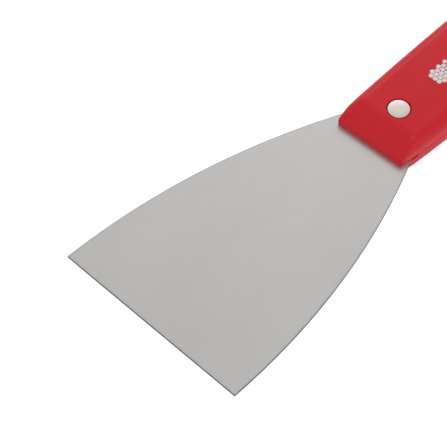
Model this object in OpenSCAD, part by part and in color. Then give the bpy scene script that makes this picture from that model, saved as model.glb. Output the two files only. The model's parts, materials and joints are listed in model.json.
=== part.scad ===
// Flared hive tool and scraper. A spring-steel blade runs on as a tang between two
// moulded handle halves, and two two-piece rivets clamp the stack.
// Frame: origin at the middle of the working edge, +Y along the tool to the butt,
// +Z out of the face that carries the rivet studs, X across the blade.

/* [Blade] */
// Width of the working edge
blade_w = 76.2; // [70:0.1:82]
// Distance from the working edge to the front of the handle
blade_reach = 102.7; // [98:0.1:108]
// Width of the blade at the front of the handle
neck_w = 34; // [32:0.1:36]
// How far ahead of the working edge the side arcs turn parallel to the axis
flare_lead = 1.4; // [0:0.1:3]
// Thickness of the blade and its tang
blade_t = 0.9; // [0.7:0.1:1.2]
// Width of the tang inside the handle
tang_w = 14; // [12:0.5:15]
// Length of the tang behind the front of the handle
tang_len = 92; // [90:0.5:93]

/* [Handle] */
// Length of the handle
handle_len = 113.3; // [111:0.1:116]
// Greatest width of the handle
handle_w = 33; // [32:0.1:35]
// Width of the handle at its front, before the nose is tapered
front_w = 28.8; // [28.6:0.1:29.6]
// Distance from the front of the handle to its widest place
widest_at = 81; // [76:1:86]
// Thickness of the two halves together
handle_t = 13.5; // [13:0.1:15]
// Radius of the rounding along the long edges
edge_r = 4.2; // [3:0.1:5]
// Height of each half where it meets the blade
nose_h = 2.8; // [2:0.1:3]
// Length of the ramp from the nose up to the flat face
ramp_len = 8.6; // [7:0.1:10]
// Width of the nose at its very front
nose_w = 27.9; // [26:0.1:28]
// Length of the taper from the nose's sides into the long sides
nose_taper_len = 6.5; // [4:0.5:7]
// Angle by which the nose is finished off square
nose_skew = 2.7; // [0:0.1:3]

/* [Rivets and holes] */
// Distance from the front of the handle to the front rivet
front_rivet_at = 14.8; // [13:0.1:16]
// Distance from the front of the handle to the rear rivet
rear_rivet_at = 80; // [74:0.5:82]
// Radius of a rivet head
head_r = 3.9; // [3.5:0.05:4]
// Radius of the counterbore around a rivet head
pocket_r = 4.3; // [4.15:0.05:4.6]
// Distance from the front of the handle to the hang hole
hang_at = 101.6; // [101:0.1:103]
// Radius of the hang hole
hang_r = 4; // [3.5:0.1:4]

/* [Hidden] */

steel = [0.73, 0.73, 0.72];
bright_steel = [0.84, 0.81, 0.79];
red = [0.76, 0.17, 0.21];

// Segments of a full circle: small holes, edge rounding, and the two very large arcs
$fn = 64;
big_arc_fn = 1440;
// Overshoot of a cutting tool past the face it cuts
over = 1;

// Blade: each side is one arc, through the working edge and the neck
flare_drop = (blade_w - neck_w) / 2;
flare_run = blade_reach + flare_lead;
flare_leg = (pow(flare_run, 2) - pow(flare_lead, 2) - pow(flare_drop, 2)) / (2 * flare_drop);
flare_r = norm([flare_leg, flare_run]);
flare_x = neck_w / 2 - flare_leg;
tang_hole_r = 2.65;

// Room around the metal inside the handle: wide in the open mouth, close along the tang
mouth_play = 1.5;
tang_play = 0.25;

// Handle: the long sides are arcs that reach full width at widest_at
half_t = handle_t / 2;
side_drop = (handle_w - front_w) / 2;
side_r = (pow(widest_at, 2) + pow(side_drop, 2)) / (2 * side_drop);
widest_y = blade_reach + widest_at;
// Half width where the nose's taper ends, and the angle of its sides up to there
taper_end_half_w = handle_w / 2 - pow(widest_at - nose_taper_len, 2) / (2 * side_r);
nose_taper = atan((taper_end_half_w - nose_w / 2) / nose_taper_len);
// Each side's sweep reaches well past the other side, from before the front to behind the butt
sweep_inner_r = side_r - 2 * handle_w;
side_sweep = asin((widest_at + 2 * over) / sweep_inner_r);
butt_sweep = asin((handle_len - widest_at + 2 * over) / sweep_inner_r);
// The butt is a half circle as wide as the handle at its widest place
cap_r = handle_w / 2;
cap_y = blade_reach + handle_len - cap_r;

// Locating pegs of the lower half, beside the tang
peg_r = 1.5;
peg_h = 2.6;
peg_x = 11.4;
peg_at = [44, 88];
peg_play = 0.1;

// Rivets: the sleeve comes up from below, and the stud's shank is pressed into it
head_t = 1.1;
head_recess = 0.1;
head_chamfer = 0.2;
seat_z = half_t - head_recess - head_t;
sleeve_r = 2.5;
shank_r = 1.6;
sleeve_hole_r = 2.55;
sleeve_gap = 0.7;
shank_gap = 0.5;
tip_above_seat = 1.6;
shank_tip_z = -seat_z + tip_above_seat;

hang_y = blade_reach + hang_at;
hang_chamfer = 0.8;

// Outline of blade and tang, grown by a play on the flared sides and on the tang
module blade_outline(side_play = 0, end_play = 0) {
    intersection() {
        for_sides() translate([flare_x, -flare_lead])
            circle(r = flare_r + side_play, $fn = big_arc_fn);
        translate([-blade_w, 0]) square([2 * blade_w, blade_reach + tang_len]);
    }
    tang_half = tang_w / 2 + end_play;
    tang_end = blade_reach + tang_len + end_play;
    translate([-tang_half, blade_reach])
        square([2 * tang_half, tang_end - tang_half - blade_reach]);
    translate([0, tang_end - tang_half]) circle(r = tang_half);
}

// The part of the plane or of space that a shape and its mirror image have in common
module for_sides() {
    intersection() {
        children();
        mirror([1, 0, 0]) children();
    }
}

module rivet_places() {
    for (at = [front_rivet_at, rear_rivet_at])
        translate([0, blade_reach + at, 0]) children();
}

module peg_places() {
    for (at = peg_at, side = [-1, 1])
        translate([side * peg_x, blade_reach + at, 0]) children();
}

// Section through one half near its side: radius across, height up, rounded top corner
module edge_section(inner, outer) {
    difference() {
        translate([inner, 0]) square([outer - inner, half_t]);
        translate([outer - edge_r, half_t - edge_r]) difference() {
            square(edge_r + over);
            circle(r = edge_r);
        }
    }
}

// Long tapered slab: what two large sweeps, one per side, have in common
module tapered_slab() {
    for_sides() translate([handle_w / 2 - side_r, widest_y, 0])
        rotate([0, 0, -side_sweep])
            rotate_extrude(angle = side_sweep + butt_sweep, $fn = big_arc_fn)
                edge_section(sweep_inner_r, side_r);
}

// Room that the slab may fill: open towards the front, rounded off at the butt
module butt_form() {
    translate([-handle_w, blade_reach - 2 * over, -over])
        cube([2 * handle_w, cap_y - blade_reach + over, handle_t]);
    translate([0, cap_y, 0]) rotate_extrude() edge_section(0, cap_r);
}

// Everything that is cut off the blank to form its nose: front face, ramp, tapered sides
module nose_cuts() {
    ramp_rise = half_t - nose_h;
    translate([0, blade_reach + ramp_len, 0]) rotate([0, 0, nose_skew])
        translate([0, -ramp_len, 0]) {
            translate([-handle_w, -ramp_len, -over]) cube([2 * handle_w, ramp_len, handle_t]);
            translate([-handle_w, 0, 0]) rotate([90, 0, 90])
                linear_extrude(height = 2 * handle_w)
                    polygon([[-ramp_len, nose_h - ramp_rise], [ramp_len, half_t],
                             [ramp_len, half_t + over], [-ramp_len, half_t + over]]);
            for (side = [-1, 1])
                translate([side * nose_w / 2, 0, -over]) rotate([0, 0, -side * nose_taper])
                    translate([side > 0 ? 0 : -handle_w, -ramp_len, 0])
                        cube([handle_w, 3 * ramp_len, handle_t]);
        }
}

// One half of the handle, standing on the parting plane, with every opening both share
module handle_half() {
    difference() {
        intersection() {
            tapered_slab();
            butt_form();
        }
        nose_cuts();
        translate([0, 0, -over]) linear_extrude(height = blade_t / 2 + over)
            blade_outline(mouth_play, tang_play);
        rivet_places() {
            translate([0, 0, -over]) cylinder(r = sleeve_hole_r, h = handle_t);
            translate([0, 0, seat_z]) cylinder(r = pocket_r, h = handle_t);
        }
        translate([0, hang_y, -over]) cylinder(r = hang_r, h = handle_t);
        translate([0, hang_y, half_t - hang_chamfer])
            cylinder(r1 = hang_r, r2 = hang_r + hang_chamfer + over, h = hang_chamfer + over);
    }
}

// Disc with a chamfered outer edge, from its seat at z = 0 up to its face
module rivet_head() {
    cylinder(r = head_r, h = head_t - head_chamfer);
    translate([0, 0, head_t - head_chamfer])
        cylinder(r1 = head_r, r2 = head_r - head_chamfer, h = head_chamfer);
}

module rivet_stud() {
    color(bright_steel) {
        translate([0, 0, seat_z]) rivet_head();
        translate([0, 0, shank_tip_z]) cylinder(r = shank_r, h = seat_z - shank_tip_z);
    }
}

module rivet_sleeve() {
    color(bright_steel) difference() {
        union() {
            translate([0, 0, -seat_z]) mirror([0, 0, 1]) rivet_head();
            translate([0, 0, -seat_z]) cylinder(r = sleeve_r, h = 2 * seat_z - sleeve_gap);
        }
        translate([0, 0, shank_tip_z - shank_gap]) cylinder(r = shank_r, h = handle_t);
    }
}

module blade() {
    color(steel) difference() {
        translate([0, 0, -blade_t / 2]) linear_extrude(height = blade_t) blade_outline();
        rivet_places() translate([0, 0, -over]) cylinder(r = tang_hole_r, h = 2 * over);
    }
}

module upper_handle_half() {
    color(red) difference() {
        handle_half();
        peg_places() translate([0, 0, -over])
            cylinder(r = peg_r + peg_play, h = peg_h + 2 * peg_play + over);
    }
}

module lower_handle_half() {
    color(red) {
        mirror([0, 0, 1]) handle_half();
        peg_places() translate([0, 0, -over]) cylinder(r = peg_r, h = peg_h + over);
    }
}

module at_rivet(at) {
    translate([0, blade_reach + at, 0]) children();
}

blade();
upper_handle_half();
lower_handle_half();
at_rivet(front_rivet_at) rivet_stud();  // front_rivet_stud
at_rivet(front_rivet_at) rivet_sleeve();  // front_rivet_sleeve
at_rivet(rear_rivet_at) rivet_stud();  // rear_rivet_stud
at_rivet(rear_rivet_at) rivet_sleeve();  // rear_rivet_sleeve
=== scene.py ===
"""Looks of the flared hive tool: blade, two handle halves, two riveted pairs and a printed mark."""

import json
import math

import bmesh
import bpy
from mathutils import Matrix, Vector


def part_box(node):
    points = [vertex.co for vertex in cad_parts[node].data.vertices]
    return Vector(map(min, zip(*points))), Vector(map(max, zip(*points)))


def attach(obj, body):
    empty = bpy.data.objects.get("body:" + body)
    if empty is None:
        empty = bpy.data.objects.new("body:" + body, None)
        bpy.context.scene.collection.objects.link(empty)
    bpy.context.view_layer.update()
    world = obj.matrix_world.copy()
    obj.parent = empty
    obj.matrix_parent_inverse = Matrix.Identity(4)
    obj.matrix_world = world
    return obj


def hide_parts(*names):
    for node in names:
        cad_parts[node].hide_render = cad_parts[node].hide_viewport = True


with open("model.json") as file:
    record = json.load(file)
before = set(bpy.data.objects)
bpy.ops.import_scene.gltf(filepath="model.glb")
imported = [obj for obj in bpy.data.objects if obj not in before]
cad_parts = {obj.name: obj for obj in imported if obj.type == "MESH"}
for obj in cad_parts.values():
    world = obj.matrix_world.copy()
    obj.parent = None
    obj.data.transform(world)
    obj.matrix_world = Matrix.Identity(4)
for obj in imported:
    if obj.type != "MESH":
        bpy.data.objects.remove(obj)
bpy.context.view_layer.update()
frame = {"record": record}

MM = 0.001
HALF_TURN = math.pi
QUARTER_TURN = math.pi / 2

# Sizes that follow from the frame
blade_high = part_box("blade")[1]
handle_low, handle_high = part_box("upper_handle_half")
hang_hole = next(m for m in frame["record"]["mounts"] if m["name"] == "hang_hole")
BLADE_HALF_W = blade_high.x
BLADE_HALF_T = blade_high.z
TANG_END_Y = blade_high.y
HANDLE_HALF_W = handle_high.x
HANDLE_HALF_T = handle_high.z
BUTT_Y = handle_high.y
HANG_Y = hang_hole["pos_m"][1]
HANG_R = hang_hole["dims"]["r_mm"] * MM
HANG_CHAMFER = (2 * HANDLE_HALF_T - hang_hole["dims"]["length_mm"] * MM) / 2

# Blade: one arc per side, from the working edge through the neck into the handle
NECK_HALF_W = 17 * MM
FLARE_LEAD = 1.4 * MM
TANG_HALF_W = 7 * MM
TANG_HOLE_R = 2.65 * MM
BLADE_BREAK = 0.07 * MM

# Handle: widest at WIDEST_AT behind its front, ramped and tapered nose, a little off square
FRONT_HALF_W = 14.4 * MM
WIDEST_AT = 81 * MM
EDGE_R = 4.2 * MM
RAMP_LEN = 8.6 * MM
SKEW_LEN = 1.5 * RAMP_LEN
NOSE_H = 2.8 * MM
NOSE_HALF_W = 13.95 * MM
NOSE_TAPER_LEN = 6.5 * MM
NOSE_SKEW = math.radians(2.7)
INK_T = 0.02 * MM
TOP_Z = HANDLE_HALF_T - INK_T

# Softening of the moulded nose: crest of the ramp, its side edges, top edge and corners
CREST_BLEND = 0.8 * MM
SHOULDER_BLEND = 0.3 * MM
NOSE_EDGE_R = 0.6 * MM
EDGE_GROWTH_BLEND = 0.6 * MM
NOSE_LIP_R = 0.35 * MM
NOSE_CORNER_R = 0.7 * MM
PARTING_R = 0.22 * MM
CREST_ZONE = 3 * MM

# Openings inside the handle
MOUTH_PLAY = 1.5 * MM
TANG_PLAY = 0.25 * MM
SLEEVE_HOLE_R = 2.55 * MM
POCKET_R = 4.3 * MM
RIM_R = 0.25 * MM
RIM_LIFT = 0.1 * RIM_R
PEG_R = 1.5 * MM
PEG_H = 2.6 * MM
PEG_X = 11.4 * MM
PEG_AT = (44 * MM, 88 * MM)
PEG_PLAY = 0.1 * MM

# Rivets
HEAD_T = 1.1 * MM
HEAD_ROUNDING = 0.3 * MM
HEAD_CROWN = 0.04 * MM
TURNED_RING = 0.16 * MM
SLEEVE_R = 2.5 * MM
SHANK_R = 1.6 * MM
SHANK_GAP = 0.5 * MM

# Printed honeycomb on the upper half: cells in rows across the handle, shrinking towards the butt
CELL_PITCH = 1.83 * MM
CELL_ROWS = 22
PRINT_START_Y = 135.9 * MM
CELL_FILL = (0.94, 0.40)

# Colours
STEEL_LIGHT = (0.70, 0.69, 0.68)
STEEL_DARK = (0.67, 0.66, 0.65)
# Dark colour painted on the blade's side faces as shade
SIDE_FACE_SHADE = (0.16, 0.16, 0.16)
STEEL_GRAIN = (0.35, 0.35, 0.35)
STEEL_SCUFFED = (0.8, 0.8, 0.79)
STEEL_RUBBED = (0.42, 0.41, 0.40)
RED_BRIGHT = (0.80, 0.008, 0.022)
RED_DEEP = (0.76, 0.006, 0.018)
RED_RUBBED = (0.80, 0.12, 0.13)
PLATING = (0.86, 0.78, 0.73)
PLATING_DULL = (0.80, 0.72, 0.67)
PLATING_PITTED = (0.4, 0.37, 0.34)
INK_WHITE = (0.95, 0.94, 0.93)
INK_GREY = (0.89, 0.87, 0.86)

# Scratches: how much longer than wide they are, and the noise range over which they fade out
SCRATCH_STRETCH = 90
SCRATCH_SOFTNESS = 0.04

# Camera, floor and the room around them; a _SEEN value is what the camera itself sees
CAMERA_AZIMUTH = math.radians(44.67)
CAMERA_ELEVATION = math.radians(53.41)
CAMERA_DISTANCE = 820.2 * MM
CAMERA_AIM = (-11.3 * MM, 45 * MM)
CAMERA_LENS = 201.3
CAMERA_CLIP = (0.01, 20)

FLOOR_HALF = 3
FLOOR_COLOR = (0.8, 0.8, 0.8, 1)
FLOOR_GLOW = 0.20
FLOOR_GLOW_SEEN = 0.75
ROOM_LIGHT = 0.61
ROOM_SEEN = 1.2

# Reach of cutters past the face they cut, and how finely round stretches are divided
OVER = 1 * MM
MITRE_LIMIT = 0.3
BREAK_STEPS = 3
ROUNDING_STEPS = 5
CORNER_STEPS = 6
ARC_STEPS = 12
FLARE_STEPS = 64
BUTT_STEPS = 72
LATHE_STEPS = 96
SHARP_ANGLE = math.radians(35)

FRONT_Y = handle_low.y + NOSE_HALF_W * math.sin(NOSE_SKEW) - RAMP_LEN * (1 - math.cos(NOSE_SKEW))

flare_drop = BLADE_HALF_W - NECK_HALF_W
flare_run = FRONT_Y + FLARE_LEAD
flare_leg = (flare_run**2 - FLARE_LEAD**2 - flare_drop**2) / (2 * flare_drop)
FLARE_R = math.hypot(flare_leg, flare_run)
FLARE_X = NECK_HALF_W - flare_leg

side_drop = HANDLE_HALF_W - FRONT_HALF_W
SIDE_R = (WIDEST_AT**2 + side_drop**2) / (2 * side_drop)


# ---------------------------------------------------------------- meshes

def soft_min(a, b, blend):
    """The smaller of two values, rounded off where they are less than blend apart."""
    overlap = max(blend - abs(a - b), 0) / blend
    return min(a, b) - overlap * overlap * blend / 4


def smooth_step(x):
    """0 below 0, 1 above 1, and a smooth rise in between."""
    t = min(max(x, 0), 1)
    return t * t * (3 - 2 * t)


def spread(start, end, count):
    """count values from just after start up to and including end."""
    return [start + (end - start) * (k + 1) / count for k in range(count)]


def make_object(name, bm):
    """A mesh object from a bmesh."""
    bmesh.ops.recalc_face_normals(bm, faces=bm.faces)
    mesh = bpy.data.meshes.new(name)
    bm.to_mesh(mesh)
    bm.free()
    made = bpy.data.objects.new(name, mesh)
    bpy.context.scene.collection.objects.link(made)
    return made


def shade(piece):
    """Smooth shading up to SHARP_ANGLE, with large flat faces kept flat."""
    piece.data.polygons.foreach_set("use_smooth", [True] * len(piece.data.polygons))
    piece.data.set_sharp_from_angle(angle=SHARP_ANGLE)
    weighted = piece.modifiers.new("weighted_normals", "WEIGHTED_NORMAL")
    weighted.keep_sharp = True


def bridge(bm, first, second):
    """Faces between two closed rings of points; a ring of one point makes a fan."""
    count = max(len(first), len(second))
    for k in range(count):
        corners = [first[k % len(first)], first[(k + 1) % len(first)]]
        corners += [second[(k + 1) % len(second)], second[k % len(second)]]
        bm.faces.new(dict.fromkeys(corners))


def rounded(corners):
    """A line through corners of (x, z, rounding radius), each rounded by its radius."""
    line = []
    for i, (x, z, radius) in enumerate(corners):
        here = Vector((x, z))
        if radius == 0:
            line.append(here)
            continue
        back = (Vector(corners[i - 1][:2]) - here).normalized()
        ahead = (Vector(corners[i + 1][:2]) - here).normalized()
        half = back.angle(ahead) / 2
        centre = here + (back + ahead).normalized() * radius / math.sin(half)
        start = (here + back * radius / math.tan(half) - centre).normalized()
        end = (here + ahead * radius / math.tan(half) - centre).normalized()
        shares = [k / ROUNDING_STEPS for k in range(ROUNDING_STEPS + 1)]
        line += [centre + start.slerp(end, share) * radius for share in shares]
    return line


def lathe(name, profile, centre):
    """A solid of revolution about the upright axis through centre, from (radius, z) points."""
    bm = bmesh.new()
    rings = []
    for radius, z in profile:
        angles = [2 * HALF_TURN * k / LATHE_STEPS for k in range(LATHE_STEPS)] if radius > 0 else [0]
        rings.append([bm.verts.new((centre.x + radius * math.cos(a), centre.y + radius * math.sin(a), z))
                      for a in angles])
    for first, second in zip(rings, rings[1:]):
        bridge(bm, first, second)
    made = make_object(name, bm)
    reach = made.data.attributes.new("axis_distance", "FLOAT", "POINT")
    reach.data.foreach_set("value", [(v.co.xy - centre).length for v in made.data.vertices])
    return made


def prism(name, outline, low, high):
    """A flat plate with an outline of (x, y) points."""
    bm = bmesh.new()
    rings = [[bm.verts.new((x, y, z)) for x, y in outline] for z in (low, high)]
    bridge(bm, rings[0], rings[1])
    for ring in rings:
        bm.faces.new(ring)
    return make_object(name, bm)


def carve(piece, tool, operation="DIFFERENCE"):
    """Cuts a tool out of a piece, or joins it on, and removes the tool."""
    modifier = piece.modifiers.new("carve", "BOOLEAN")
    modifier.operation = operation
    modifier.solver = "MANIFOLD"
    modifier.object = tool
    depsgraph = bpy.context.evaluated_depsgraph_get()
    result = bpy.data.meshes.new_from_object(piece.evaluated_get(depsgraph))
    piece.modifiers.clear()
    piece.data = result
    bpy.data.objects.remove(tool)


# ---------------------------------------------------------------- blade

def flare_half_width(y, play=0):
    """Half width of the flared blade at y, grown by play."""
    return FLARE_X + math.sqrt((FLARE_R + play)**2 - (y + FLARE_LEAD)**2)


def blade_side(start_y, side_play, end_play):
    """One side of the blade's outline, from start_y along the flare and the tang to its end."""
    tang_half = TANG_HALF_W + end_play
    reach = FLARE_R + side_play
    flare_end_y = math.sqrt(reach**2 - (tang_half - FLARE_X)**2) - FLARE_LEAD
    tang_end = TANG_END_Y + end_play
    flare_ys = [start_y] + spread(start_y, flare_end_y, FLARE_STEPS)
    flare = [(flare_half_width(y, side_play), y) for y in flare_ys]
    angles = spread(0, QUARTER_TURN, ARC_STEPS)
    end = [(tang_half * math.cos(a), tang_end - tang_half + tang_half * math.sin(a)) for a in angles]
    return flare + [(tang_half, tang_end - tang_half)] + end[:-1] + [(0, tang_end)]


def blade_outline(start_y=0, side_play=0, end_play=0):
    """The closed outline of the blade and its tang."""
    side = blade_side(start_y, side_play, end_play)
    return side + [(-x, y) for x, y in reversed(side[:-1])]


def inset(outline, distance):
    """An outline moved inwards, each point along the mean of its two edges' normals."""
    moved = []
    for i, here in enumerate(outline):
        here = Vector(here)
        back = (here - Vector(outline[i - 1])).normalized()
        ahead = (Vector(outline[(i + 1) % len(outline)]) - here).normalized()
        normal = Vector((-back.y - ahead.y, back.x + ahead.x)).normalized()
        scale = math.sqrt((1 + back.dot(ahead)) / 2)
        moved.append(here + normal * distance / max(scale, MITRE_LIMIT))
    return moved


def build_blade():
    """Sheet blade with its edges just broken, and the two rivet holes in its tang."""
    outline = blade_outline()
    bm = bmesh.new()
    rings = []
    angles = [QUARTER_TURN * k / BREAK_STEPS for k in range(BREAK_STEPS + 1)]
    levels = [(BLADE_BREAK * (1 - math.sin(a)), BLADE_HALF_T - BLADE_BREAK * (1 - math.cos(a)))
              for a in angles]
    levels += [(depth, -z) for depth, z in reversed(levels)]
    for depth, z in levels:
        rings.append([bm.verts.new((p[0], p[1], z)) for p in inset(outline, depth)])
    for first, second in zip(rings, rings[1:]):
        bridge(bm, first, second)
    bm.faces.new(rings[0])
    bm.faces.new(rings[-1])
    blade = make_object("blade_sheet", bm)
    for centre in rivet_centres:
        profile = [(0, -OVER), (TANG_HOLE_R, -OVER), (TANG_HOLE_R, OVER), (0, OVER)]
        carve(blade, lathe("tang_hole", profile, centre))
    return blade


# ---------------------------------------------------------------- handle

def side_half_width(y):
    """Half width of the handle's long sides at y."""
    return HANDLE_HALF_W - SIDE_R + math.sqrt(SIDE_R**2 - (y - FRONT_Y - WIDEST_AT)**2)


CAP_R = side_half_width(BUTT_Y - HANDLE_HALF_W)
CAP_Y = BUTT_Y - CAP_R
NOSE_SPREAD = (side_half_width(FRONT_Y + NOSE_TAPER_LEN) - NOSE_HALF_W) / NOSE_TAPER_LEN


def row_stations():
    """Distances behind the nose at which the handle gets a row of points."""
    angles = [QUARTER_TURN * k / CORNER_STEPS for k in range(CORNER_STEPS + 1)]
    corner = [NOSE_CORNER_R * (1 - math.cos(a)) for a in angles]
    ramp = spread(NOSE_CORNER_R, RAMP_LEN - CREST_ZONE, 6)
    bend = spread(RAMP_LEN - CREST_ZONE, RAMP_LEN + CREST_ZONE, 16)
    body = spread(RAMP_LEN + CREST_ZONE, CAP_Y - FRONT_Y, 26)
    return corner + ramp + bend + body


def section(reach, edge_r, top):
    """Half a cross-section: (distance from the axis, height) from the wall to the flat top."""
    points = []
    for k in range(ARC_STEPS + 1):
        angle = QUARTER_TURN * k / ARC_STEPS
        points.append((reach - edge_r * (1 - math.cos(angle)), top - edge_r * (1 - math.sin(angle))))
    flat = reach - edge_r
    points += [(flat * share, top) for share in (0.75, 0.5, 0.25)]
    return points


def nose_reach(station, side):
    """Distance from the axis to the handle's wall along a row in the nose."""
    shift = side * (station - RAMP_LEN) * math.tan(NOSE_SKEW)
    return NOSE_HALF_W + station * NOSE_SPREAD - shift


def handle_row(station):
    """Points across the handle at a distance behind its nose, from left wall to right wall."""
    skew = NOSE_SKEW * (1 - smooth_step((station - SKEW_LEN) / (2 * RAMP_LEN)))
    centre_y = FRONT_Y + RAMP_LEN + (station - RAMP_LEN) / math.cos(NOSE_SKEW)
    if station > SKEW_LEN:
        centre_y = FRONT_Y + station
    ramp = NOSE_H + station * (TOP_Z - NOSE_H) / RAMP_LEN
    top = soft_min(TOP_Z, ramp, CREST_BLEND)
    climb = station / RAMP_LEN
    growing_r = NOSE_EDGE_R + (EDGE_R - NOSE_EDGE_R) * (climb + climb * climb) / 2
    edge_r = soft_min(EDGE_R, growing_r, EDGE_GROWTH_BLEND)
    lip = max(NOSE_LIP_R - station, 0)
    top -= NOSE_LIP_R - math.sqrt(NOSE_LIP_R**2 - lip**2)
    gap = max(NOSE_CORNER_R - station, 0)
    corner = NOSE_CORNER_R - math.sqrt(NOSE_CORNER_R**2 - gap**2)
    halves = []
    for side in (-1, 1):
        reach = HANDLE_HALF_W
        for _ in range(4):
            reach = side_half_width(centre_y + side * reach * math.sin(skew)) / math.cos(skew)
        reach = soft_min(reach, nose_reach(station, side), SHOULDER_BLEND) - corner
        halves.append([(side * t * math.cos(skew), centre_y + side * t * math.sin(skew), z)
                       for t, z in section(reach, edge_r, top)])
    return halves[0] + [(0, centre_y, top)] + halves[1][::-1]


def handle_blank(name):
    """Outer form of one handle half, closed by the parting plane at z = 0."""
    bm = bmesh.new()
    rows = [[bm.verts.new(p) for p in handle_row(s)] for s in row_stations()]
    for first, second in zip(rows, rows[1:]):
        for k in range(len(first) - 1):
            bm.faces.new((first[k], first[k + 1], second[k + 1], second[k]))
    middle = len(rows[-1]) // 2
    hub = rows[-1][middle]
    rays = [rows[-1][:middle:-1]]
    for k in range(1, BUTT_STEPS):
        angle = HALF_TURN * k / BUTT_STEPS
        rays.append([bm.verts.new((t * math.cos(angle), CAP_Y + t * math.sin(angle), z))
                     for t, z in section(CAP_R, EDGE_R, TOP_Z)])
    rays.append(rows[-1][:middle])
    for first, second in zip(rays, rays[1:]):
        for k in range(len(first) - 1):
            bm.faces.new((first[k], first[k + 1], second[k + 1], second[k]))
        bm.faces.new((first[-1], hub, second[-1]))
    rim = rows[0] + [row[-1] for row in rows[1:]] + [ray[0] for ray in rays[1:-1]]
    rim += [row[0] for row in reversed(rows[1:])]
    outline = [(v.co.x, v.co.y) for v in rim]
    above = rim
    for k in range(BREAK_STEPS + 1):
        angle = QUARTER_TURN * k / BREAK_STEPS
        depth = PARTING_R * (1 - math.cos(angle))
        z = PARTING_R * (1 - math.sin(angle))
        ring = [bm.verts.new((p.x, p.y, z)) for p in inset(outline, depth)]
        bridge(bm, above, ring)
        above = ring
    bm.faces.new(above)
    return make_object(name, bm)


def rivet_opening(centre):
    """Cutter for the sleeve hole and the counterbore around a rivet head, with a softened rim."""
    seat = stud_high.z - HEAD_T
    flare = 2 * RIM_R
    corners = [(0, -OVER, 0), (SLEEVE_HOLE_R, -OVER, 0), (SLEEVE_HOLE_R, seat, 0), (POCKET_R, seat, 0),
               (POCKET_R, TOP_Z - RIM_LIFT, RIM_R), (POCKET_R + flare, TOP_Z + RIM_LIFT, 0),
               (POCKET_R + flare, TOP_Z + OVER, 0), (0, TOP_Z + OVER, 0)]
    return lathe("rivet_opening", rounded(corners), centre)


def hang_opening():
    """Cutter for the hang hole and its softened chamfer."""
    flare = 4 * RIM_R
    corners = [(0, -OVER, 0), (HANG_R, -OVER, 0), (HANG_R, TOP_Z - HANG_CHAMFER, 2 * RIM_R),
               (HANG_R + HANG_CHAMFER, TOP_Z - RIM_LIFT, RIM_R),
               (HANG_R + HANG_CHAMFER + flare, TOP_Z + 2 * RIM_LIFT, 0),
               (HANG_R + HANG_CHAMFER + flare, TOP_Z + OVER, 0), (0, TOP_Z + OVER, 0)]
    return lathe("hang_opening", rounded(corners), Vector((0, HANG_Y)))


def peg(centre, radius, height):
    """A locating peg, or the cutter for its hole, from below the parting plane."""
    corners = [(0, -OVER, 0), (radius, -OVER, 0), (radius, height, radius / 4), (0, height, 0)]
    return lathe("peg", rounded(corners), centre)


def build_handle_half(name, has_pegs):
    """One handle half, built as the upper one: blank, blade recess, rivet and hang holes, pegs."""
    half = handle_blank(name)
    recess = blade_outline(FRONT_Y - 2 * OVER, MOUTH_PLAY, TANG_PLAY)
    carve(half, prism("recess", recess, -OVER, BLADE_HALF_T))
    for centre in rivet_centres:
        carve(half, rivet_opening(centre))
    carve(half, hang_opening())
    for at in PEG_AT:
        for side in (-1, 1):
            centre = Vector((side * PEG_X, FRONT_Y + at))
            if has_pegs:
                carve(half, peg(centre, PEG_R, PEG_H), "UNION")
            else:
                carve(half, peg(centre, PEG_R + PEG_PLAY, PEG_H + 2 * PEG_PLAY))
    return half


# ---------------------------------------------------------------- rivets

stud_low, stud_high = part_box("front_rivet_stud")
sleeve_low, sleeve_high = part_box("front_rivet_sleeve")
HEAD_R = stud_high.x


def node_centre(node):
    """Middle of a CAD node in plan."""
    low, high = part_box(node)
    return Vector(((low.x + high.x) / 2, (low.y + high.y) / 2))


rivet_centres = [node_centre("front_rivet_stud"), node_centre("rear_rivet_stud")]


def build_stud(name, centre):
    """Flat-headed rivet stud, its head face up."""
    face = stud_high.z
    corners = [(0, face, 0), (HEAD_R / 2, face - HEAD_CROWN / 3, 0),
               (HEAD_R, face - HEAD_CROWN, HEAD_ROUNDING),
               (HEAD_R, face - HEAD_T, 0), (SHANK_R, face - HEAD_T, 0),
               (SHANK_R, stud_low.z, SHANK_R / 6), (0, stud_low.z, 0)]
    return lathe(name, rounded(corners), centre)


def build_sleeve(name, centre):
    """Hollow rivet sleeve, its head face down."""
    face = sleeve_low.z
    bore_end = stud_low.z - SHANK_GAP
    corners = [(0, face, 0), (HEAD_R / 2, face + HEAD_CROWN / 3, 0),
               (HEAD_R, face + HEAD_CROWN, HEAD_ROUNDING), (HEAD_R, face + HEAD_T, 0),
               (SLEEVE_R, face + HEAD_T, 0), (SLEEVE_R, sleeve_high.z, SHANK_R / 6),
               (SHANK_R, sleeve_high.z, 0), (SHANK_R, bore_end, 0), (0, bore_end, 0)]
    return lathe(name, rounded(corners), centre)


# ---------------------------------------------------------------- printed mark

def build_mark():
    """Honeycomb print: rows of three and four six-sided cells in turn, each a thin film of ink."""
    bm = bmesh.new()
    row_step = CELL_PITCH * math.sqrt(3) / 2
    for row in range(CELL_ROWS):
        across = 3 + row % 2
        share = CELL_FILL[0] + (CELL_FILL[1] - CELL_FILL[0]) * row / (CELL_ROWS - 1)
        radius = share * CELL_PITCH / math.sqrt(3)
        for column in range(across):
            x = (column - (across - 1) / 2) * CELL_PITCH
            y = PRINT_START_Y + row * row_step
            angles = [HALF_TURN * (k + 0.5) / 3 for k in range(6)]
            rings = [[bm.verts.new((x + radius * math.sin(a), y + radius * math.cos(a), z)) for a in angles]
                     for z in (TOP_Z - INK_T, HANDLE_HALF_T)]
            bridge(bm, rings[0], rings[1])
            for ring in rings:
                bm.faces.new(ring)
    return make_object("honeycomb_print", bm)


# ---------------------------------------------------------------- pieces

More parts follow.
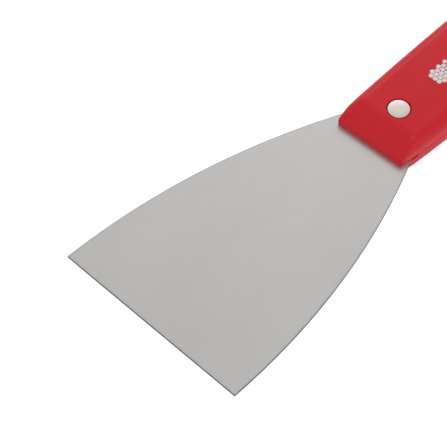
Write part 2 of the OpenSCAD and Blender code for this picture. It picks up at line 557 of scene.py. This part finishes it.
blade = build_blade()
upper_half = build_handle_half("handle_upper", has_pegs=False)
lower_half = build_handle_half("handle_lower", has_pegs=True)
for vertex in lower_half.data.vertices:
    vertex.co.z = -vertex.co.z
lower_half.data.flip_normals()

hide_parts("blade")
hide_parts("upper_handle_half")
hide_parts("lower_handle_half")
pieces = [blade, upper_half, lower_half]
for place, centre in zip(("front", "rear"), rivet_centres):
    stud = build_stud(f"{place}_stud", centre)
    sleeve = build_sleeve(f"{place}_sleeve", centre)
    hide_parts(f"{place}_rivet_stud")
    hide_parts(f"{place}_rivet_sleeve")
    for piece in (stud, sleeve):
        pieces.append(piece)
printed_mark = build_mark()
for piece in pieces + [printed_mark]:
    shade(piece)
    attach(piece, "root")


# ---------------------------------------------------------------- materials

def node(tree, kind, inputs=None, **settings):
    """A new shader node; an input that is given a socket is linked, any other is set."""
    made = tree.nodes.new(kind)
    for key, value in settings.items():
        setattr(made, key, value)
    for key, value in (inputs or {}).items():
        if isinstance(value, bpy.types.NodeSocket):
            tree.links.new(value, made.inputs[key])
        else:
            made.inputs[key].default_value = value
    return made


def new_material(name):
    """An empty node material and its tree."""
    material = bpy.data.materials.new(name)
    material.use_nodes = True
    material.node_tree.nodes.clear()
    return material, material.node_tree


def math_node(tree, operation, a, b=0.0):
    """Result of one arithmetic operation on sockets or numbers."""
    return node(tree, "ShaderNodeMath", {0: a, 1: b}, operation=operation).outputs[0]


def remap(tree, value, low, high, to_low=0.0, to_high=1.0):
    """A value's range from low to high stretched to another range, and held at its ends."""
    inputs = {"Value": value, "From Min": low, "From Max": high, "To Min": to_low, "To Max": to_high}
    return node(tree, "ShaderNodeMapRange", inputs).outputs[0]


def mix_color(tree, factor, first, second):
    """Blend of two colours."""
    made = node(tree, "ShaderNodeMix", {0: factor}, data_type="RGBA")
    for slot_index, value in ((6, first), (7, second)):
        if isinstance(value, bpy.types.NodeSocket):
            tree.links.new(value, made.inputs[slot_index])
        else:
            made.inputs[slot_index].default_value = (*value, 1)
    return made.outputs[2]


def object_coordinates(tree):
    """Place in the shared frame, in metres."""
    return node(tree, "ShaderNodeTexCoord").outputs["Object"]


def noise(tree, scale, detail=2.0, roughness=0.5, turn=0.0):
    """Noise with its own number of waves per metre along each axis, turned about the upright axis."""
    where = object_coordinates(tree)
    turned = node(tree, "ShaderNodeMapping", {"Vector": where, "Rotation": (0, 0, turn)}).outputs[0]
    placed = node(tree, "ShaderNodeMapping", {"Vector": turned, "Scale": scale}).outputs[0]
    inputs = {"Vector": placed, "Scale": 1.0, "Detail": detail, "Roughness": roughness}
    return node(tree, "ShaderNodeTexNoise", inputs).outputs["Fac"]


def bump(tree, height, strength, depth, normal=None):
    """Normal of a relief of the given depth in metres."""
    inputs = {"Height": height, "Strength": strength, "Distance": depth}
    if normal:
        inputs["Normal"] = normal
    return node(tree, "ShaderNodeBump", inputs).outputs[0]


def scratches(tree, turn, spacing, share):
    """Sparse hair-fine lines in one direction, as a mask from 0 to 1."""
    lines = noise(tree, (spacing, spacing / SCRATCH_STRETCH, spacing), detail=1.0, turn=turn)
    return remap(tree, lines, 1 - share, 1 - share + SCRATCH_SOFTNESS)


def principled(tree, **inputs):
    """A principled surface as the material's output; underscores in names stand for blanks."""
    named = {key.replace("_", " "): value for key, value in inputs.items()}
    shader = node(tree, "ShaderNodeBsdfPrincipled", named)
    node(tree, "ShaderNodeOutputMaterial", {"Surface": shader.outputs[0]})


def steel_material():
    """Satin sheet steel: fine rolling grain, faint scratches, rubbed edges, and rougher sheared side faces
    painted dark as shade.
    """
    material, tree = new_material("satin_steel")
    where = object_coordinates(tree)
    x, y, _ = node(tree, "ShaderNodeSeparateXYZ", {0: where}).outputs
    out = math_node(tree, "SUBTRACT", math_node(tree, "ABSOLUTE", x), FLARE_X)
    along = math_node(tree, "ADD", y, FLARE_LEAD)
    radius = math_node(tree, "SQRT", math_node(tree, "ADD", math_node(tree, "MULTIPLY", out, out),
                                               math_node(tree, "MULTIPLY", along, along)))
    from_side = math_node(tree, "SUBTRACT", FLARE_R, radius)
    from_edge = math_node(tree, "MINIMUM", from_side, y)

    grain = noise(tree, (5200, 420, 5200), detail=3.0)
    clouds = noise(tree, (35, 22, 35), detail=3.0)
    scuffs = math_node(tree, "MAXIMUM", scratches(tree, 0.35, 900, 0.27), scratches(tree, -1.1, 700, 0.25))
    ragged = noise(tree, (900, 900, 900), detail=3.0)
    rub_width = remap(tree, ragged, 0.35, 0.75, 0.1 * MM, 0.9 * MM)
    rubbed = math_node(tree, "LESS_THAN", from_edge, rub_width)

    color = mix_color(tree, remap(tree, clouds, 0.3, 0.7), STEEL_DARK, STEEL_LIGHT)
    color = mix_color(tree, remap(tree, grain, 0.3, 0.7, 0.0, 0.10), color, STEEL_GRAIN)
    color = mix_color(tree, math_node(tree, "MULTIPLY", scuffs, 0.05), color, STEEL_SCUFFED)
    color = mix_color(tree, math_node(tree, "MULTIPLY", rubbed, 0.35), color, STEEL_RUBBED)
    # Side faces of the sheet: rougher for their sheared finish, and painted dark as shade
    normal_z = node(tree, "ShaderNodeSeparateXYZ",
                    {0: node(tree, "ShaderNodeNewGeometry").outputs["True Normal"]}).outputs[2]
    sheared_and_shaded = remap(tree, math_node(tree, "ABSOLUTE", normal_z), 0.9, 0.3)
    color = mix_color(tree, sheared_and_shaded, color, SIDE_FACE_SHADE)

    rough = math_node(tree, "ADD", remap(tree, grain, 0.25, 0.75, 0.34, 0.44),
                      remap(tree, clouds, 0.3, 0.7, -0.02, 0.03))
    rough = math_node(tree, "ADD", rough, math_node(tree, "MULTIPLY", sheared_and_shaded, 0.2))
    relief = bump(tree, grain, 0.35, 0.004 * MM)
    relief = bump(tree, scuffs, 0.3, 0.003 * MM, relief)
    principled(tree, Base_Color=color, Roughness=rough, Metallic=1.0, Normal=relief)
    return material


def plastic_material():
    """Glossy red moulded plastic: faint flow marks, orange peel, hair scratches, rubbed edges."""
    material, tree = new_material("red_plastic")
    flow = noise(tree, (60, 16, 60), detail=3.0)
    smudge = noise(tree, (140, 90, 140), detail=4.0, roughness=0.6)
    peel = noise(tree, (900, 900, 900), detail=2.0)
    fine = noise(tree, (6000, 6000, 6000), detail=2.0)
    hair = math_node(tree, "MAXIMUM", scratches(tree, 0.2, 1000, 0.26), scratches(tree, 1.3, 1200, 0.25))
    edge = remap(tree, node(tree, "ShaderNodeNewGeometry").outputs["Pointiness"], 0.52, 0.60)
    rub = math_node(tree, "MULTIPLY", edge, remap(tree, smudge, 0.45, 0.65))

    color = mix_color(tree, remap(tree, flow, 0.3, 0.7), RED_DEEP, RED_BRIGHT)
    color = mix_color(tree, math_node(tree, "MULTIPLY", rub, 0.12), color, RED_RUBBED)
    color = mix_color(tree, math_node(tree, "MULTIPLY", hair, 0.06), color, RED_RUBBED)
    rough = remap(tree, smudge, 0.3, 0.7, 0.17, 0.27)
    rough = math_node(tree, "ADD", rough, math_node(tree, "MULTIPLY", rub, 0.10))
    relief = bump(tree, peel, 0.25, 0.01 * MM)
    relief = bump(tree, fine, 0.12, 0.002 * MM, relief)
    relief = bump(tree, math_node(tree, "SUBTRACT", 1.0, hair), 0.25, 0.004 * MM, relief)
    principled(tree, Base_Color=color, Roughness=rough, IOR=1.42, Normal=relief)
    return material


def rivet_material():
    """Bright plated steel with turned rings on its heads."""
    material, tree = new_material("bright_steel")
    ring = node(tree, "ShaderNodeAttribute", attribute_name="axis_distance").outputs["Fac"]
    rings = math_node(tree, "SINE", math_node(tree, "MULTIPLY", ring, 2 * HALF_TURN / TURNED_RING))
    pits = noise(tree, (1800, 1800, 1800), detail=4.0, roughness=0.7)
    tarnish = noise(tree, (260, 260, 260), detail=3.0)
    color = mix_color(tree, remap(tree, tarnish, 0.35, 0.7), PLATING, PLATING_DULL)
    color = mix_color(tree, remap(tree, pits, 0.62, 0.72, 0.0, 0.5), color, PLATING_PITTED)
    rough = math_node(tree, "ADD", remap(tree, tarnish, 0.3, 0.7, 0.24, 0.36),
                      math_node(tree, "MULTIPLY", rings, 0.03))
    relief = bump(tree, rings, 0.3, 0.003 * MM)
    relief = bump(tree, pits, 0.25, 0.004 * MM, relief)
    principled(tree, Base_Color=color, Roughness=rough, Metallic=1.0, Normal=relief)
    return material


def ink_material():
    """White printing ink, a little uneven, with pinholes."""
    material, tree = new_material("white_ink")
    film = noise(tree, (500, 500, 500), detail=3.0)
    pinholes = noise(tree, (3800, 3800, 3800), detail=2.0)
    color = mix_color(tree, remap(tree, film, 0.3, 0.7), INK_WHITE, INK_GREY)
    color = mix_color(tree, remap(tree, pinholes, 0.70, 0.76, 0.0, 0.6), color, RED_BRIGHT)
    rough = remap(tree, film, 0.3, 0.7, 0.38, 0.5)
    relief = bump(tree, pinholes, 0.2, 0.004 * MM)
    principled(tree, Base_Color=color, Roughness=rough, IOR=1.45, Normal=relief)
    return material


steel = steel_material()
red = plastic_material()
bright = rivet_material()
for piece in pieces:
    piece.data.materials.clear()
    chosen = steel if piece is blade else red if piece in (upper_half, lower_half) else bright
    piece.data.materials.append(chosen)
printed_mark.data.materials.append(ink_material())


# ---------------------------------------------------------------- studio

def build_floor():
    """Pale table top that looks white in the picture; from below it is clear, to show the underside."""
    bm = bmesh.new()
    corners = [(-1, -1), (1, -1), (1, 1), (-1, 1)]
    bm.faces.new([bm.verts.new((x * FLOOR_HALF, y * FLOOR_HALF, -HANDLE_HALF_T)) for x, y in corners])
    floor = make_object("floor", bm)
    material, tree = new_material("pale_table")
    camera_ray = node(tree, "ShaderNodeLightPath").outputs["Is Camera Ray"]
    glow = remap(tree, camera_ray, 0.0, 1.0, FLOOR_GLOW, FLOOR_GLOW_SEEN)
    top = node(tree, "ShaderNodeBsdfPrincipled", {
        "Base Color": FLOOR_COLOR, "Roughness": 0.9, "Specular IOR Level": 0.2,
        "Emission Color": (1, 1, 1, 1), "Emission Strength": glow})
    clear = node(tree, "ShaderNodeBsdfTransparent")
    back = node(tree, "ShaderNodeNewGeometry").outputs["Backfacing"]
    mixed = node(tree, "ShaderNodeMixShader", {0: back, 1: top.outputs[0], 2: clear.outputs[0]})
    node(tree, "ShaderNodeOutputMaterial", {"Surface": mixed.outputs[0]})
    floor.data.materials.append(material)


def build_world():
    """Soft grey room, and white where the camera looks past the table."""
    world = bpy.data.worlds.new("studio")
    bpy.context.scene.world = world
    world.use_nodes = True
    tree = world.node_tree
    tree.nodes.clear()
    camera_ray = node(tree, "ShaderNodeLightPath").outputs["Is Camera Ray"]
    strength = remap(tree, camera_ray, 0.0, 1.0, ROOM_LIGHT, ROOM_SEEN)
    sky = node(tree, "ShaderNodeBackground", {"Color": (1, 1, 1, 1), "Strength": strength})
    node(tree, "ShaderNodeOutputWorld", {"Surface": sky.outputs[0]})


def build_softbox(name, place, size, power):
    """A square soft light aimed at the middle of the tool."""
    data = bpy.data.lights.new(name, "AREA")
    data.shape = "SQUARE"
    data.size = size
    data.energy = power
    light = bpy.data.objects.new(name, data)
    light.location = place
    aim = Vector((0, BUTT_Y / 2, 0))
    light.rotation_mode = "QUATERNION"
    light.rotation_quaternion = (aim - Vector(place)).to_track_quat("-Z", "Y")
    bpy.context.scene.collection.objects.link(light)


def build_camera():
    """A view over the near corner of the blade, with the handle running out of the picture."""
    aim = Vector((*CAMERA_AIM, BLADE_HALF_T))
    plan = math.cos(CAMERA_ELEVATION)
    back = Vector((math.sin(CAMERA_AZIMUTH) * plan, -math.cos(CAMERA_AZIMUTH) * plan,
                   math.sin(CAMERA_ELEVATION)))
    data = bpy.data.cameras.new("camera")
    data.lens = CAMERA_LENS
    data.clip_start, data.clip_end = CAMERA_CLIP
    camera = bpy.data.objects.new("camera", data)
    camera.location = aim + back * CAMERA_DISTANCE
    camera.rotation_mode = "QUATERNION"
    camera.rotation_quaternion = (-back).to_track_quat("-Z", "Y")
    bpy.context.scene.collection.objects.link(camera)
    bpy.context.scene.camera = camera


build_floor()
build_world()
build_softbox("overhead", place=(0.0, 0.25, 1.0), size=0.2, power=0.2)
build_softbox("back", place=(-0.6, 0.8, 0.6), size=0.5, power=0.74)
build_softbox("side", place=(0.9, 0.3, 0.35), size=0.5, power=0.35)
build_camera()
bpy.context.scene.view_settings.view_transform = "Standard"
